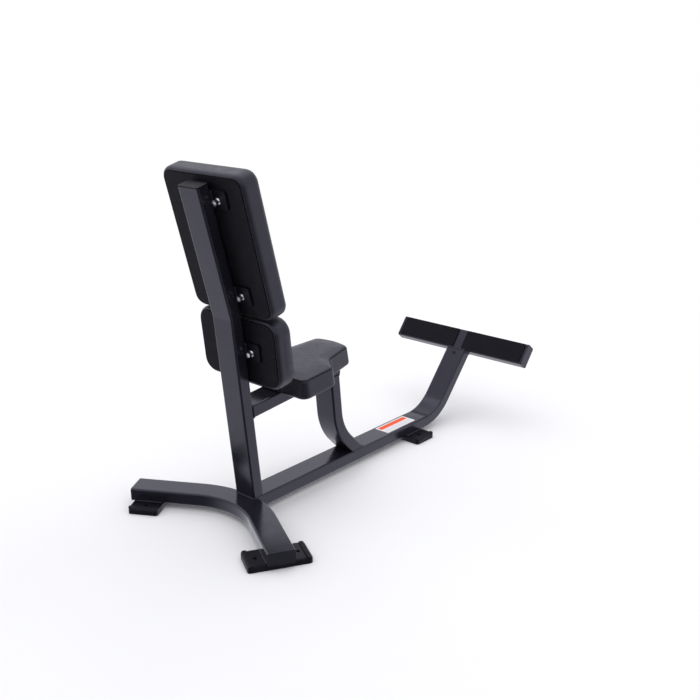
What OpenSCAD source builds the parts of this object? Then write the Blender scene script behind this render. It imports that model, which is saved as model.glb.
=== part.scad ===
// Fixed upright bench: seat and two back pads on a leaning post, a spine rail and a raised
// footrest bar, on three floor feet.
// Millimetres. Z is up, +Y points the way a seated user faces, X is across the bench.
// The origin is on the floor at the middle of the outline. The bench is symmetric about X = 0.

/* [Frame tube] */
// Wide side of the rectangular frame tube, mm
tube_w = 80; // [70:1:90]
// Narrow side of the frame tube, mm
tube_h = 40; // [36:1:46]
// Tube wall, mm
tube_wall = 3; // [2:0.5:4]
// Outside corner radius of the tube, mm
tube_r = 6; // [4:0.5:8]
// Thickness of the welded end plates, mm
cap_t = 3; // [2:0.5:5]

/* [Rear base] */
// Angle each rear arm sweeps back from straight across, degrees
arm_angle = 30.3; // [24:0.1:36]
// Centre-line radius of the base bend, mm
base_bend_r = 267; // [230:1:300]
// Straight length of each rear arm, end plate included, mm
arm_len = 210; // [160:1:260]
// Front of the base bend ahead of the back face of the upright, mm
base_lead = 19; // [12:1:26]

/* [Upright] */
// Lean of the lower upright, degrees
lean_lower = 6.2; // [4:0.1:9]
// Lean of the upper upright, degrees
lean_upper = 14.8; // [11:0.1:18]
// Length of the lower upright on its back face, mm
lower_len = 570; // [520:1:620]
// Length of the upper upright on its back face, mm
upper_len = 391; // [340:1:440]

/* [Spine and footrest] */
// Start of the bend ahead of the back face of the upright, mm
bend_y = 851; // [780:1:920]
// Slope of the footrest stem, degrees
stem_angle = 49; // [44:0.5:54]
// Inside radius of the stem bend, mm
stem_bend_r = 150; // [130:1:170]
// Straight length of the stem on its upper face, mm
stem_len = 191; // [150:1:230]
// Slope of the footrest bar face, degrees
bar_angle = 51; // [49:0.5:56]
// Overall width of the footrest bar, mm
bar_len = 558; // [480:1:620]
// Width of bare bar between the two grip pads, mm
grip_gap = 37; // [20:1:60]
// Bare bar left at each end beyond the grip pads, mm
grip_margin = 11; // [8:1:20]
// Thickness of the grip pads, mm
grip_t = 4; // [2:0.5:5]

/* [Seat support] */
// Height of the top of the seat rail at the back face of the upright, mm
rail_z = 353; // [330:1:380]
// Slope of the seat rail, degrees
rail_angle = 5; // [3:0.5:7]
// Length of the seat rail along its slope, mm
rail_end = 387; // [370:1:410]
// Lean of the seat post, degrees
post_lean = 6; // [4:0.5:8]
// Height at which the seat post starts to bend, mm
post_bend_z = 211; // [195:1:235]
// Inside radius of the post bend, mm
post_bend_r = 160; // [150:1:175]
// Angle the post turns through, degrees
post_turn = 38; // [34:0.5:42]

/* [Pads] */
// Width of both back pads, mm
pad_w = 320; // [280:1:340]
// Height of the upper pad, mm
upper_pad_h = 423; // [380:1:460]
// Height of the lumbar pad, mm
lumbar_pad_h = 208; // [180:1:225]
// Corner radius of the upper pad, mm
upper_pad_r = 35; // [25:1:50]
// Corner radius of the lumbar pad, mm
lumbar_pad_r = 45; // [30:1:60]
// Thickness of the pad cushions, mm
cushion_t = 54; // [45:1:65]
// Thickness of the plywood boards, mm
board_t = 12; // [9:1:15]
// How far each board is set in from the edge of its cushion, mm
board_inset = 10; // [8:1:16]
// Full thickness of the seat above its mounting plate, mm
seat_t = 55; // [50:1:70]
// Full width of the seat, mm
seat_w = 286; // [270:1:310]
// Back of the seat along the rail, mm
seat_back = 119; // [110:1:130]

/* [Brackets] */
// Length of each pad bracket across the bench, mm
bracket_w = 186; // [176:1:230]
// Height of each pad bracket, mm
bracket_h = 54; // [50:1:70]
// Thickness of the pad brackets, mm
bracket_t = 6; // [4:1:8]
// Bolt centres to each side of the middle of a bracket, mm
bolt_x = 60; // [56:1:80]

/* [Feet] */
// Length of each rubber foot across its tube, mm
foot_l = 184; // [170:1:200]
// Width of each rubber foot along its tube, mm
foot_w = 93; // [86:1:100]
// Rubber under the steel foot plate, mm
foot_floor_t = 12; // [8:1:14]
// Height of the raised ends of a rubber foot, mm
foot_rim_h = 20; // [18:1:26]
// Thickness of the steel foot plates, mm
plate_t = 5; // [4:0.5:6]
// Floor bolt holes to each side of the tube centre, mm
anchor_x = 61; // [56:1:64]
// Radius of the floor bolt holes, mm
anchor_r = 5.5; // [4:0.5:6]

/* [Hidden] */
$fn = 64;
eps = 0.01;
big = 400;

// Information label on top of the spine.
label_l = 155;
label_w = 58;
label_t = 0.6;
label_y = 728;

base_top = foot_floor_t + plate_t + tube_h;
tube_z = base_top - tube_h / 2;
inner_r = max(tube_r - tube_wall, 1);

// The base bend turns about this point behind the upright.
base_cy = base_lead - base_bend_r - tube_w / 2;
base_front_r = base_bend_r + tube_w / 2;

// Ends of the stem and footrest bar, in the side plane.
bend_outer_r = stem_bend_r + tube_h;
stem_start_y = bend_y + stem_bend_r * sin(stem_angle);
stem_start_z = base_top + stem_bend_r * (1 - cos(stem_angle));
bar_sink = 4;
bar_y = stem_start_y + stem_len * cos(stem_angle) + bar_sink * sin(stem_angle);
bar_z = stem_start_z + stem_len * sin(stem_angle) - bar_sink * cos(stem_angle);

// Rearmost corner of the rear feet.
foot_corner_r = 9;
foot_back = 9;
foot_mid_y = base_cy + base_bend_r * cos(arm_angle)
    - (arm_len - foot_back - foot_w / 2) * sin(arm_angle);
foot_tip_y = foot_mid_y - (foot_w / 2 - foot_corner_r) * sin(arm_angle)
    - (foot_l / 2 - foot_corner_r) * cos(arm_angle) - foot_corner_r;

// Middle of the outline along Y, so that the origin sits under it.
bar_tip_y = bar_y + (tube_w - tube_r) * cos(bar_angle) + (tube_h - tube_r) * sin(bar_angle) + tube_r;
mid_y = (foot_tip_y + bar_tip_y) / 2;

// Back face of the seat post where its bend starts, and the centre of that bend.
post_back_y = 361.5;
post_cy = post_back_y + (post_bend_r + tube_h) * cos(post_lean);
post_cz = post_bend_z + (post_bend_r + tube_h) * sin(post_lean);

// Pad layout, measured along the upright from its bend.
pad_face = tube_h + bracket_t;
cushion_face = pad_face + board_t;
upper_pad_drop = 8;
lumbar_pad_drop = 2;
upper_pad_mid = upper_pad_h / 2 - upper_pad_drop;
lumbar_pad_mid = -lumbar_pad_drop - lumbar_pad_h / 2;
upper_bolt_z = [342, 61];
lumbar_bolt_z = -106;
bracket_rise = 3;

// Seat layout, measured along the rail.
seat_plate_t = 5;
seat_plate_w = 160;
seat_plate_y = [142, 250];
seat_bolt_x = 62;
seat_bolt_y = [162, 230];
seat_corner_r = 22;
shoulder_y = 258;
shoulder_r = 20;
shoulder_turn = 49;
cove_r = 30;
cove_x = 116;
cove_y = 310;
nose_side_y = 384;
nose_half = 71;
nose_corner_r = 23;
nose_front = 414;
nose_front_r = 180;
seat_board_inset = 12;
seat_board_gap = 0.2;
seat_skirt_z = 1;

// M10 cap screws, washers and tee nuts.
screw_r = 5;
head_r = 8;
head_h = 10;
socket_af = 8;
socket_depth = 5;
screw_len = 20;
clear_r = 5.5;
washer_r = 10.5;
washer_t = 2;
lock_r = 8.6;
lock_t = 2.2;
nut_flange_r = 12;
nut_flange_t = 1.5;
nut_barrel_r = 6.5;
nut_barrel_l = 8;
nut_bore_r = 5.1;
nut_gap = 0.3;

plug_r = 5;
plug_head_r = 6.5;
plug_head_t = 1.2;
plug_depth = 6;
plug_back = 20;

rim_w = 16;
lip_w = 5;
lip_gap = 0.5;
rim_chamfer = 5;
front_foot_y = 787;

// ---------- outlines ----------

module round_rect(w, h, r) {
    square([w - 2 * r, h], center = true);
    square([w, h - 2 * r], center = true);
    for (sx = [-1, 1])
        for (sy = [-1, 1])
            translate([sx * (w / 2 - r), sy * (h / 2 - r)])
                circle(r);
}

function arc(cx, cy, r, a0, a1, n) =
    [for (i = [0:n]) let (a = a0 + (a1 - a0) * i / n) [cx + r * cos(a), cy + r * sin(a)]];

function mirrored(points) = [for (i = [len(points) - 1:-1:0]) [-points[i][0], points[i][1]]];

function nose_front_y(x) = nose_front - nose_front_r + sqrt(pow(nose_front_r, 2) - pow(x, 2));

// Right half of the seat outline, set in by d from the full edge.
function seat_half(d) = concat(
    arc(seat_w / 2 - seat_corner_r, seat_back + seat_corner_r, seat_corner_r - d, -90, 0, 8),
    arc(seat_w / 2 - shoulder_r, shoulder_y - shoulder_r, shoulder_r - d, 0, shoulder_turn, 6),
    arc(cove_x, cove_y, cove_r + d, 180 + shoulder_turn, 190, 6),
    arc(nose_half - nose_corner_r, nose_side_y, nose_corner_r - d, 8, 72, 8),
    [for (x = [36, 18, 0]) [x, nose_front_y(x) - d]]);

module seat_outline(d) {
    half = seat_half(d);
    polygon(concat(half, [for (p = mirrored(half)) if (p[0] < -eps) p]));
}

// ---------- frames ----------

module placed() {
    translate([0, -mid_y, 0])
        children();
}

// Local x and y are the bench's Y and Z, local z is its X.
module side_plane() {
    rotate([90, 0, 90])
        children();
}

module on_lower() {
    translate([0, 0, base_top])
        rotate([lean_lower, 0, 0])
            children();
}

module on_upper() {
    on_lower()
        translate([0, 0, lower_len])
            rotate([lean_upper - lean_lower, 0, 0])
                children();
}

module on_rail() {
    translate([0, 0, rail_z])
        rotate([rail_angle, 0, 0])
            children();
}

module on_bar() {
    translate([0, bar_y, bar_z])
        rotate([bar_angle, 0, 0])
            children();
}

module on_stem_end() {
    translate([0, bar_y, bar_z])
        rotate([stem_angle, 0, 0])
            translate([0, 0, bar_sink])
                children();
}

// Arm end: local x runs out along the arm, the origin is on its end plate face.
module on_arm(side) {
    scale_x = side;
    mirror([scale_x < 0 ? 1 : 0, 0, 0])
        translate([0, base_cy, 0])
            rotate([0, 0, 90 - arm_angle])
                translate([base_bend_r, 0, 0])
                    rotate([0, 0, -90])
                        translate([arm_len, 0, 0])
                            children();
}

// ---------- tube ----------

module section(a, b) {
    difference() {
        round_rect(a, b, tube_r);
        round_rect(a - 2 * tube_wall, b - 2 * tube_wall, inner_r);
    }
}

// Straight run along local x with the wide side flat across z.
module run(length) {
    rotate([0, 90, 0])
        linear_extrude(height = length)
            section(tube_w, tube_h);
}

module face_plate(w, h, r, t) {
    rotate([-90, 0, 0])
        linear_extrude(height = t)
            round_rect(w, h, r);
}

// Cylinder along +Y from y = 0.
module drill(r, l) {
    rotate([-90, 0, 0])
        cylinder(r = r, h = l);
}

// ---------- rear base ----------

// One arm with its half of the bend, cut square at the middle of the bench.
module base_half() {
    difference() {
        translate([0, base_cy, tube_z])
            rotate([0, 0, 90 - arm_angle]) {
                rotate_extrude(angle = arm_angle + 1)
                    translate([base_bend_r, 0])
                        section(tube_w, tube_h);
                translate([base_bend_r, 0, 0])
                    rotate([0, 0, -90])
                        rotate([0, 90, 0])
                            linear_extrude(height = arm_len - cap_t)
                                section(tube_h, tube_w);
            }
        translate([-big, -big, 0])
            cube([big, 2 * big, 2 * base_top]);
    }
}

module rear_base_tube() {
    color("#26262b")
        placed() {
            base_half();
            mirror([1, 0, 0])
                base_half();
        }
}

module base_end_cap(side) {
    color("#222226")
        placed()
            on_arm(side)
                translate([-cap_t, 0, tube_z])
                    rotate([0, 90, 0])
                        linear_extrude(height = cap_t)
                            round_rect(tube_h, tube_w, tube_r);
}

module base_end_cap_left() {
    base_end_cap(-1);
}

module base_end_cap_right() {
    base_end_cap(1);
}

// ---------- upright ----------

module upright_section(length) {
    translate([0, tube_h / 2, -tube_h])
        linear_extrude(height = length + 2 * tube_h)
            section(tube_w, tube_h);
}

module upright_lower() {
    mitre = (lean_upper - lean_lower) / 2;
    color("#26262b")
        placed()
            on_lower()
                difference() {
                    upright_section(lower_len);
                    translate([0, 0, lower_len])
                        rotate([mitre, 0, 0])
                            translate([-tube_w, -tube_w, 0])
                                cube([2 * tube_w, 3 * tube_w, tube_w]);
                    rotate([-lean_lower, 0, 0])
                        translate([-tube_w, -tube_w, -tube_w])
                            cube([2 * tube_w, 3 * tube_w, tube_w]);
                }
}

module upright_upper() {
    mitre = (lean_upper - lean_lower) / 2;
    color("#26262b")
        placed()
            on_upper()
                difference() {
                    upright_section(upper_len);
                    rotate([-mitre, 0, 0])
                        translate([-tube_w, -tube_w, -tube_w])
                            cube([2 * tube_w, 3 * tube_w, tube_w]);
                    translate([-tube_w, -tube_w, upper_len - cap_t])
                        cube([2 * tube_w, 3 * tube_w, tube_w]);
                }
}

module upright_top_cap() {
    color("#222226")
        placed()
            on_upper()
                translate([0, tube_h / 2, upper_len - cap_t])
                    linear_extrude(height = cap_t)
                        round_rect(tube_w, tube_h, tube_r);
}

// ---------- spine and footrest ----------

module spine_rail() {
    color("#26262b")
        placed()
            difference() {
                side_plane()
                    translate([0, tube_z, 0])
                        run(bend_y);
                translate([0, base_cy, 0])
                    cylinder(r = base_front_r, h = 2 * base_top, $fn = 180);
            }
}

module stem_path() {
    side_plane()
        translate([bend_y, base_top + stem_bend_r, 0])
            rotate([0, 0, stem_angle - 90]) {
                rotate_extrude(angle = -stem_angle)
                    translate([stem_bend_r + tube_h / 2, 0])
                        section(tube_h, tube_w);
                translate([stem_bend_r + tube_h / 2, 0, 0])
                    rotate([0, 0, 90])
                        run(stem_len + tube_h);
            }
}

module footrest_stem() {
    color("#26262b")
        placed()
            difference() {
                stem_path();
                on_bar()
                    translate([-tube_w, 0, -2 * tube_w])
                        cube([2 * tube_w, 2 * tube_w, 4 * tube_w]);
                on_stem_end()
                    translate([0, -plug_back, -tube_wall - 1])
                        cylinder(r = plug_r, h = tube_wall + 2);
            }
}

module stem_plug() {
    color("#121214")
        placed()
            on_stem_end()
                translate([0, -plug_back, 0]) {
                    translate([0, 0, -plug_depth])
                        cylinder(r = plug_r - 0.1, h = plug_depth);
                    cylinder(r = plug_head_r, h = plug_head_t);
                }
}

module footrest_crossbar() {
    length = bar_len - 2 * cap_t;
    color("#26262b")
        placed()
            on_bar()
                translate([-length / 2, tube_w / 2, -tube_h / 2])
                    rotate([0, 90, 0])
                        linear_extrude(height = length)
                            section(tube_h, tube_w);
}

module crossbar_cap(side) {
    color("#222226")
        placed()
            on_bar()
                translate([side * (bar_len - cap_t) / 2, tube_w / 2, -tube_h / 2])
                    rotate([0, 90, 0])
                        translate([0, 0, -cap_t / 2])
                            linear_extrude(height = cap_t)
                                round_rect(tube_h, tube_w, tube_r);
}

module crossbar_cap_left() {
    crossbar_cap(-1);
}

module crossbar_cap_right() {
    crossbar_cap(1);
}

module grip_pad(side) {
    grip_l = (bar_len - grip_gap) / 2 - grip_margin;
    grip_h = tube_w - tube_r;
    color("#141416")
        placed()
            on_bar()
                translate([side * (grip_gap + grip_l) / 2, tube_w / 2, 0])
                    linear_extrude(height = grip_t)
                        round_rect(grip_l, grip_h, 4);
}

module grip_pad_left() {
    grip_pad(-1);
}

module grip_pad_right() {
    grip_pad(1);
}

module info_label() {
    color("#e8e4dc")
        placed()
            translate([0, label_y, base_top])
                linear_extrude(height = label_t)
                    round_rect(label_w, label_l, 3);
}

// ---------- seat support ----------

module seat_rail() {
    color("#26262b")
        placed()
            difference() {
                on_rail()
                    translate([0, 0, -tube_h / 2])
                        side_plane()
                            run(rail_end - cap_t);
                on_lower()
                    translate([-tube_w, -tube_w, 0])
                        cube([2 * tube_w, tube_w + tube_h, lower_len]);
            }
}

module seat_rail_cap() {
    color("#222226")
        placed()
            on_rail()
                translate([0, rail_end - cap_t, -tube_h / 2])
                    face_plate(tube_w, tube_h, tube_r, cap_t);
}

// Half of the bend and the straight leg at its end, cut square half way round the bend.
module post_leg(length) {
    difference() {
        rotate([0, 0, -post_turn / 2]) {
            rotate_extrude(angle = post_turn / 2 + 1)
                translate([post_bend_r + tube_h / 2, 0])
                    section(tube_h, tube_w);
            translate([post_bend_r + tube_h / 2, 0, 0])
                rotate([0, 0, -90])
                    run(length);
        }
        translate([0, 0, -tube_w])
            cube([big, big, 2 * tube_w]);
    }
}

module post_path() {
    side_plane()
        translate([post_cy, post_cz, 0])
            rotate([0, 0, 180 + post_lean + post_turn / 2]) {
                post_leg(2 * tube_w);
                mirror([0, 1, 0])
                    post_leg(1.5 * tube_w);
            }
}

module seat_post() {
    color("#26262b")
        placed()
            difference() {
                post_path();
                on_rail()
                    translate([-tube_w, 0, -tube_h])
                        cube([2 * tube_w, 2 * big, big]);
                translate([-tube_w, 0, base_top - big])
                    cube([2 * tube_w, 2 * big, big]);
            }
}

module seat_mount_plate() {
    depth = seat_plate_y[1] - seat_plate_y[0];
    color("#26262b")
        placed()
            on_rail()
                difference() {
                    translate([0, seat_plate_y[0] + depth / 2, 0])
                        linear_extrude(height = seat_plate_t)
                            round_rect(seat_plate_w, depth, 8);
                    for (x = [-seat_bolt_x, seat_bolt_x])
                        for (y = seat_bolt_y)
                            translate([x, y, -1])
                                cylinder(r = clear_r, h = seat_plate_t + 2);
                }
}

// ---------- brackets ----------

module pad_bracket(z) {
    difference() {
        translate([0, tube_h, z + bracket_rise])
            face_plate(bracket_w, bracket_h, 6, bracket_t);
        for (x = [-bolt_x, bolt_x])
            translate([x, tube_h - 1, z])
                drill(clear_r, bracket_t + 2);
    }
}

module upper_pad_bracket_high() {
    color("#26262b")
        placed()
            on_upper()
                pad_bracket(upper_bolt_z[0]);
}

module upper_pad_bracket_low() {
    color("#26262b")
        placed()
            on_upper()
                pad_bracket(upper_bolt_z[1]);
}

module lumbar_pad_bracket() {
    color("#26262b")
        placed()
            on_lower()
                translate([0, 0, lower_len])
                    pad_bracket(lumbar_bolt_z);
}

// ---------- pads ----------

module pad_board(h, r, mid, bolts) {
    difference() {
        translate([0, pad_face, mid])
            face_plate(pad_w - 2 * board_inset, h - 2 * board_inset, r - board_inset, board_t);
        for (x = [-bolt_x, bolt_x])
            for (z = bolts)
                translate([x, pad_face, z]) {
                    translate([0, -1, 0])
                        drill(nut_barrel_r + nut_gap, board_t + 2);
                    translate([0, board_t - nut_flange_t - nut_gap, 0])
                        drill(nut_flange_r + nut_gap, board_t);
                }
    }
}

module pad_cushion(h, r, mid) {
    translate([0, cushion_face, mid])
        face_plate(pad_w, h, r, cushion_t);
}

module upper_pad_board() {
    color("#1b1b1e")
        placed()
            on_upper()
                pad_board(upper_pad_h, upper_pad_r, upper_pad_mid, upper_bolt_z);
}

module upper_pad_cushion() {
    color("#1a1a1d")
        placed()
            on_upper()
                pad_cushion(upper_pad_h, upper_pad_r, upper_pad_mid);
}

module lumbar_pad_board() {
    color("#1b1b1e")
        placed()
            on_lower()
                translate([0, 0, lower_len])
                    pad_board(lumbar_pad_h, lumbar_pad_r, lumbar_pad_mid, [lumbar_bolt_z]);
}

module lumbar_pad_cushion() {
    color("#1a1a1d")
        placed()
            on_lower()
                translate([0, 0, lower_len])
                    pad_cushion(lumbar_pad_h, lumbar_pad_r, lumbar_pad_mid);
}

module seat_board() {
    color("#1b1b1e")
        placed()
            on_rail()
                difference() {
                    translate([0, 0, seat_plate_t])
                        linear_extrude(height = board_t)
                            seat_outline(seat_board_inset);
                    for (x = [-seat_bolt_x, seat_bolt_x])
                        for (y = seat_bolt_y)
                            translate([x, y, seat_plate_t]) {
                                translate([0, 0, -1])
                                    cylinder(r = nut_barrel_r + nut_gap, h = board_t + 2);
                                translate([0, 0, board_t - nut_flange_t - nut_gap])
                                    cylinder(r = nut_flange_r + nut_gap, h = board_t);
                            }
                }
}

module seat_cushion() {
    color("#1a1a1d")
        placed()
            on_rail()
                difference() {
                    translate([0, 0, seat_skirt_z])
                        linear_extrude(height = seat_plate_t + seat_t - seat_skirt_z)
                            seat_outline(0);
                    linear_extrude(height = seat_plate_t + board_t)
                        seat_outline(seat_board_inset - seat_board_gap);
                }
}

// ---------- fasteners ----------

// Every fastener is drawn along +Y with the bracket's back face at y = 0.
module at_back_bolts() {
    for (x = [-bolt_x, bolt_x]) {
        on_upper()
            for (z = upper_bolt_z)
                translate([x, tube_h, z])
                    children();
        on_lower()
            translate([x, tube_h, lower_len + lumbar_bolt_z])
                children();
    }
}

module at_seat_bolts() {
    on_rail()
        for (x = [-seat_bolt_x, seat_bolt_x])
            for (y = seat_bolt_y)
                translate([x, y, 0])
                    rotate([90, 0, 0])
                        children();
}

module cap_screw() {
    translate([0, -washer_t - lock_t - head_h, 0])
        difference() {
            union() {
                drill(head_r, head_h);
                drill(screw_r, head_h + screw_len);
            }
            translate([0, -eps, 0])
                rotate([-90, 0, 0])
                    cylinder(r = socket_af / 2 / cos(30), h = socket_depth, $fn = 6);
        }
}

module ring(outer, inner, t) {
    difference() {
        drill(outer, t);
        translate([0, -1, 0])
            drill(inner, t + 2);
    }
}

module flat_washer() {
    translate([0, -washer_t, 0])
        ring(washer_r, screw_r + 0.2, washer_t);
}

module lock_washer() {
    translate([0, -washer_t - lock_t, 0])
        ring(lock_r, screw_r + 0.2, lock_t);
}

// Tee nut whose flange sits in the counterbore, l away from the bracket.
module tee_nut(l) {
    translate([0, l - nut_flange_t, 0])
        ring(nut_flange_r, nut_bore_r, nut_flange_t);
    translate([0, l - nut_flange_t - nut_barrel_l, 0])
        ring(nut_barrel_r, nut_bore_r, nut_barrel_l + eps);
}

module cap_screws() {
    color("#d8d8dc")
        placed() {
            at_back_bolts()
                cap_screw();
            at_seat_bolts()
                cap_screw();
        }
}

module flat_washers() {
    color("#d0d0d4")
        placed() {
            at_back_bolts()
                flat_washer();
            at_seat_bolts()
                flat_washer();
        }
}

module lock_washers() {
    color("#c4c4c8")
        placed() {
            at_back_bolts()
                lock_washer();
            at_seat_bolts()
                lock_washer();
        }
}

module tee_nuts() {
    color("#b8b8ae")
        placed() {
            at_back_bolts()
                tee_nut(bracket_t + board_t - nut_gap);
            at_seat_bolts()
                tee_nut(seat_plate_t + board_t - nut_gap);
        }
}

// ---------- feet ----------

// Long side along local y, tube direction along local x.
module foot_frame_rear(side) {
    on_arm(side)
        translate([-foot_back - foot_w / 2, 0, 0])
            children();
}

module foot_frame_front() {
    translate([0, front_foot_y, 0])
        rotate([0, 0, 90])
            children();
}

module foot_plate() {
    plate_l = foot_l - 2 * rim_w - 1;
    plate_w = foot_w - 2 * lip_w - 1;
    translate([0, 0, foot_floor_t])
        linear_extrude(height = plate_t)
            difference() {
                round_rect(plate_w, plate_l, 4);
                for (y = [-anchor_x, anchor_x])
                    translate([0, y])
                        circle(anchor_r);
            }
}

module rubber_foot() {
    pocket_l = foot_l - 2 * rim_w;
    pocket_w = foot_w - 2 * lip_w;
    lip_top = foot_floor_t + plate_t - lip_gap;
    difference() {
        linear_extrude(height = foot_rim_h)
            round_rect(foot_w, foot_l, foot_corner_r);
        translate([-foot_w, -pocket_l / 2, lip_top])
            cube([2 * foot_w, pocket_l, foot_rim_h]);
        translate([-pocket_w / 2, -pocket_l / 2, foot_floor_t])
            cube([pocket_w, pocket_l, foot_rim_h]);
        for (s = [-1, 1]) {
            translate([0, s * foot_l / 2, foot_rim_h])
                rotate([45, 0, 0])
                    cube([2 * foot_w, rim_chamfer * sqrt(2), rim_chamfer * sqrt(2)], center = true);
            translate([0, s * anchor_x, -1])
                cylinder(r = anchor_r + 1, h = foot_rim_h);
        }
    }
}

module foot_plate_front() {
    color("#242428")
        placed()
            foot_frame_front()
                foot_plate();
}

module foot_plate_rear_left() {
    color("#242428")
        placed()
            foot_frame_rear(-1)
                foot_plate();
}

module foot_plate_rear_right() {
    color("#242428")
        placed()
            foot_frame_rear(1)
                foot_plate();
}

module rubber_foot_front() {
    color("#101012")
        placed()
            foot_frame_front()
                rubber_foot();
}

module rubber_foot_rear_left() {
    color("#101012")
        placed()
            foot_frame_rear(-1)
                rubber_foot();
}

module rubber_foot_rear_right() {
    color("#101012")
        placed()
            foot_frame_rear(1)
                rubber_foot();
}

rear_base_tube();
base_end_cap_left();
base_end_cap_right();
upright_lower();
upright_upper();
upright_top_cap();
spine_rail();
footrest_stem();
stem_plug();
footrest_crossbar();
crossbar_cap_left();
crossbar_cap_right();
grip_pad_left();
grip_pad_right();
info_label();
seat_rail();
seat_rail_cap();
seat_post();
seat_mount_plate();
upper_pad_bracket_high();
upper_pad_bracket_low();
lumbar_pad_bracket();
upper_pad_board();
upper_pad_cushion();
lumbar_pad_board();
lumbar_pad_cushion();
seat_board();
seat_cushion();
cap_screws();
flat_washers();
lock_washers();
tee_nuts();
foot_plate_front();
foot_plate_rear_left();
foot_plate_rear_right();
rubber_foot_front();
rubber_foot_rear_left();
rubber_foot_rear_right();
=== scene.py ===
import math

import bmesh
import bpy
import numpy as np
from mathutils import Matrix, Vector

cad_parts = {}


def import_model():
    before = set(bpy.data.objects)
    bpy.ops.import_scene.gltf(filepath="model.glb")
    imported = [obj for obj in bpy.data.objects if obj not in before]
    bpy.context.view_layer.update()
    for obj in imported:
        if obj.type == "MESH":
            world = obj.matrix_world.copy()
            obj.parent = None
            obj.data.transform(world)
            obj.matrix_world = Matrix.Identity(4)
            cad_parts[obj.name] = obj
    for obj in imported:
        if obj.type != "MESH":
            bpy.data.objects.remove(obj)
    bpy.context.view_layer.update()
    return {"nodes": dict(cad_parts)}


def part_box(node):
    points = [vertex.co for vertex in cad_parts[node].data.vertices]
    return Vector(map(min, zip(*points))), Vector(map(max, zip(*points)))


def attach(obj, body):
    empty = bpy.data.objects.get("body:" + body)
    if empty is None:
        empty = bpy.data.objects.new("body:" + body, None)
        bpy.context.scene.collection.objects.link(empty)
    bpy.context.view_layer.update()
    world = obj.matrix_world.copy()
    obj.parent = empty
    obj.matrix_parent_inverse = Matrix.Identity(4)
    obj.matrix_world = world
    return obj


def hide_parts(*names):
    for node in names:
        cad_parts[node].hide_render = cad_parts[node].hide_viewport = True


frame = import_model()
NODES = frame["nodes"]

MM = 0.001

# ---------- the part's own frames and sizes, as in its CAD ----------

MID_Y = 468.26
BASE_TOP = 57.0
LEAN_LOWER, LEAN_UPPER = 6.2, 14.8
LOWER_LEN = 570.0
RAIL_Z, RAIL_ANGLE = 353.0, 5.0
TUBE_W, TUBE_H = 80.0, 40.0
BAR_Y, BAR_Z, BAR_ANGLE = 1092.53, 250.116, 51.0
PAD_W = 320.0
UPPER_PAD_H, LUMBAR_PAD_H = 423.0, 208.0
UPPER_PAD_DROP, LUMBAR_PAD_DROP = 8.0, 2.0
UPPER_PAD_R, LUMBAR_PAD_R = 35.0, 45.0
BOARD_INSET = 10.0
BOARD_BACK, CUSHION_BACK, PAD_FRONT = 46.0, 58.0, 112.0
SEAT_W, SEAT_BACK, SEAT_T, SEAT_PLATE = 286.0, 119.0, 55.0, 5.0
TUBE_R, CAP_T, FOOT_PLATE_TOP = 6.0, 3.0, 17.0
UPPER_LEN, RAIL_END, BAR_LEN, BAR_SINK = 391.0, 387.0, 558.0, 4.0
UPPER_BOLTS, LUMBAR_BOLTS, BRACKET_RISE = (342.0, 61.0), (-106.0,), 3.0
POST_LEAN, POST_TURN, POST_BACK_Y, POST_BEND_Z, POST_FOOT_Y = 6.0, 38.0, 361.5, 211.0, 483.0
BASE_CY, BASE_BEND_R, ARM_ANGLE, ARM_LEN, ARM_TO_PLATE = -288.0, 267.0, 30.3, 210.0, 55.5
FRONT_PLATE_Y = 787.0


def turn(degrees):
    return Matrix.Rotation(math.radians(degrees), 4, "X")


def shift(x, y, z):
    return Matrix.Translation((x, y, z))


SCALE = Matrix.Scale(MM, 4)
PART = SCALE @ shift(0, -MID_Y, 0)
LOWER = PART @ shift(0, 0, BASE_TOP) @ turn(LEAN_LOWER)
UPPER = LOWER @ shift(0, 0, LOWER_LEN) @ turn(LEAN_UPPER - LEAN_LOWER)
LUMBAR = LOWER @ shift(0, 0, LOWER_LEN)
RAIL = PART @ shift(0, 0, RAIL_Z) @ turn(RAIL_ANGLE)
BAR = PART @ shift(0, BAR_Y, BAR_Z) @ turn(BAR_ANGLE)

# ---------- materials ----------


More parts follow.
